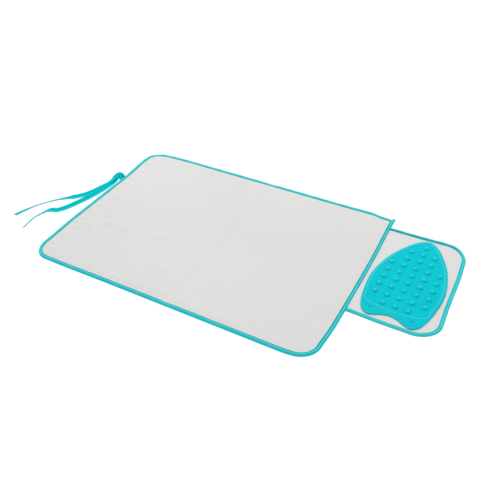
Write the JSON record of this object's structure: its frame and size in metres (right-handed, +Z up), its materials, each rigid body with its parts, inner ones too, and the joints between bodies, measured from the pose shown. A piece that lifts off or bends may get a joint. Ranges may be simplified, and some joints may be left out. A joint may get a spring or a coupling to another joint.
{
  "type": "portable ironing mat",
  "caption": "Padded travel ironing mat with taped edges, a fold-over flap carrying a studded silicone iron rest, a fold across its middle and a pair of cloth tie ribbons.",
  "frame": {"origin": "middle of the main mat's underside, on the surface it lies on", "axes": "+X along the mat towards the flap with the iron rest, +Y across the mat to the long side that has the square corner, +Z up"},
  "size_m": [0.9527, 0.477, 0.0087],
  "materials": {
    "cover_cloth": "pale grey heat-proof cotton with a faint metallic coat",
    "wadding": "needled polyester felt",
    "heat_barrier": "thin metallised film",
    "backing_cloth": "plain woven cotton",
    "binding_tape": "woven turquoise bias tape",
    "thread": "turquoise polyester thread",
    "tie_ribbon": "folded turquoise tape, pressed",
    "silicone": "satin moulded silicone"
  },
  "bodies": {
    "left_half": {"cover_left": "cover_cloth", "wadding_left": "wadding", "barrier_left": "heat_barrier", "backing_left": "backing_cloth", "binding_left": "binding_tape", "binding_stitch_left": "thread", "tie_ribbon_rear_root": "tie_ribbon", "tie_ribbon_front_root": "tie_ribbon", "tie_bar_tack": "thread"},
    "right_half": {"cover_right": "cover_cloth", "wadding_right": "wadding", "barrier_right": "heat_barrier", "backing_right": "backing_cloth", "binding_far_right": "binding_tape", "binding_near_right": "binding_tape", "binding_stitch_right": "thread", "flap_seam_allowance": "cover_cloth"},
    "rest_flap": {"flap_cover": "cover_cloth", "flap_wadding": "wadding", "flap_barrier": "heat_barrier", "flap_backing": "backing_cloth", "flap_binding": "binding_tape", "flap_binding_stitch": "thread", "iron_rest": "silicone", "rest_tacks": "thread"},
    "ties": {"tie_ribbon_rear": "tie_ribbon", "tie_ribbon_front": "tie_ribbon"}
  },
  "joints": [
    {"name": "main_fold", "type": "hinge", "parent": "left_half", "child": "right_half", "pos_m": [0.014, 0, 0.0056], "axis": [0, -1, 0], "range_deg": [0, 160]},
    {"name": "flap_fold", "type": "hinge", "parent": "right_half", "child": "rest_flap", "pos_m": [0.3255, 0.0545, 0.0056], "axis": [0, -1, 0], "range_deg": [0, 170]},
    {"name": "ties_swing", "type": "hinge", "parent": "left_half", "child": "ties", "pos_m": [-0.342, 0.088, 0.002], "axis": [0, 0, 1], "range_deg": [-120, 0]}
  ]
}
